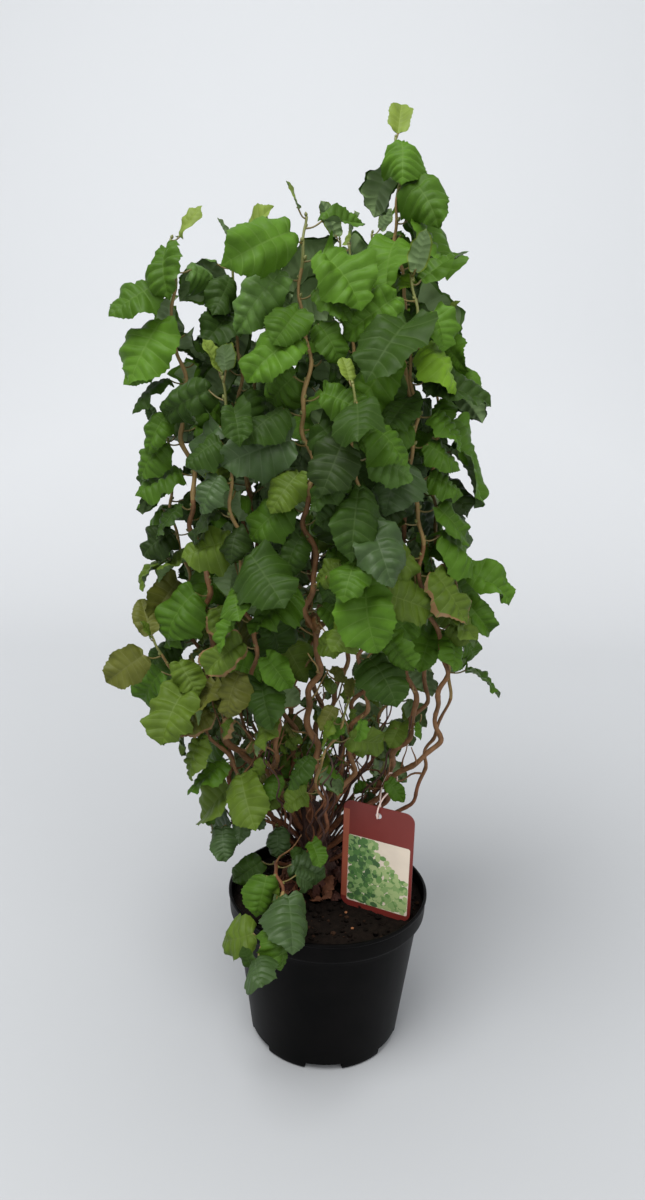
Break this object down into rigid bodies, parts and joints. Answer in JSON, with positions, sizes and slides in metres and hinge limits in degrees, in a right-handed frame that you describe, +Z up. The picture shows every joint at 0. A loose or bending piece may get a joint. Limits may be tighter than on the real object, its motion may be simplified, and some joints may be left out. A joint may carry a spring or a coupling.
{
  "type": "potted corkscrew hazel",
  "caption": "Young corkscrew hazel: a clump of wavy upright stems with crumpled round leaves, in a round black nursery pot with a plastic tag hung on a loop.",
  "frame": {"origin": "the middle of the pot's flat underside, on the pot's axis", "axes": "+Z up along the pot's axis; the front that the picture shows looks along -Y, so +X is the viewer's right and +Y is away from the viewer"},
  "size_m": [0.3513, 0.3344, 0.8311],
  "materials": {
    "pot": "satin, lightly scuffed",
    "soil": "crumbly peat",
    "bark": "thin smooth bark with pale pores",
    "foliage": "soft, slightly glossy leaves",
    "label": "glossy printed card-thin plastic",
    "loop": "translucent-looking pale pink plastic, opaque here"
  },
  "bodies": {
    "root": {"pot": "pot", "soil": "soil", "trunk": "bark", "left_leader_bough": "bark", "left_leader_leaves": "foliage", "left_inner_leader_bough": "bark", "left_inner_leader_leaves": "foliage", "front_leader_bough": "bark", "front_leader_leaves": "foliage", "right_tall_leader_bough": "bark", "right_tall_leader_leaves": "foliage", "right_front_leader_bough": "bark", "right_front_leader_leaves": "foliage", "right_outer_leader_bough": "bark", "right_outer_leader_leaves": "foliage", "middle_leader_bough": "bark", "middle_leader_leaves": "foliage", "back_left_leader_bough": "bark", "back_left_leader_leaves": "foliage", "back_leader_bough": "bark", "back_leader_leaves": "foliage", "back_right_leader_bough": "bark", "back_right_leader_leaves": "foliage", "front_left_leader_bough": "bark", "front_left_leader_leaves": "foliage", "front_right_leader_bough": "bark", "front_right_leader_leaves": "foliage", "left_short_leader_bough": "bark", "left_short_leader_leaves": "foliage", "left_twisted_shoot_bough": "bark", "left_twisted_shoot_leaves": "foliage", "right_low_shoot_bough": "bark", "right_low_shoot_leaves": "foliage", "low_front_shoot_bough": "bark", "low_front_shoot_leaves": "foliage", "low_left_shoot_bough": "bark", "low_left_shoot_leaves": "foliage", "low_left_drooper_bough": "bark", "low_left_drooper_leaves": "foliage", "pot_edge_drooper_bough": "bark", "pot_edge_drooper_leaves": "foliage", "low_back_left_shoot_bough": "bark", "low_back_left_shoot_leaves": "foliage", "low_back_right_shoot_bough": "bark", "low_back_right_shoot_leaves": "foliage", "label": "label", "label_loop": "loop"}
  },
  "joints": []
}
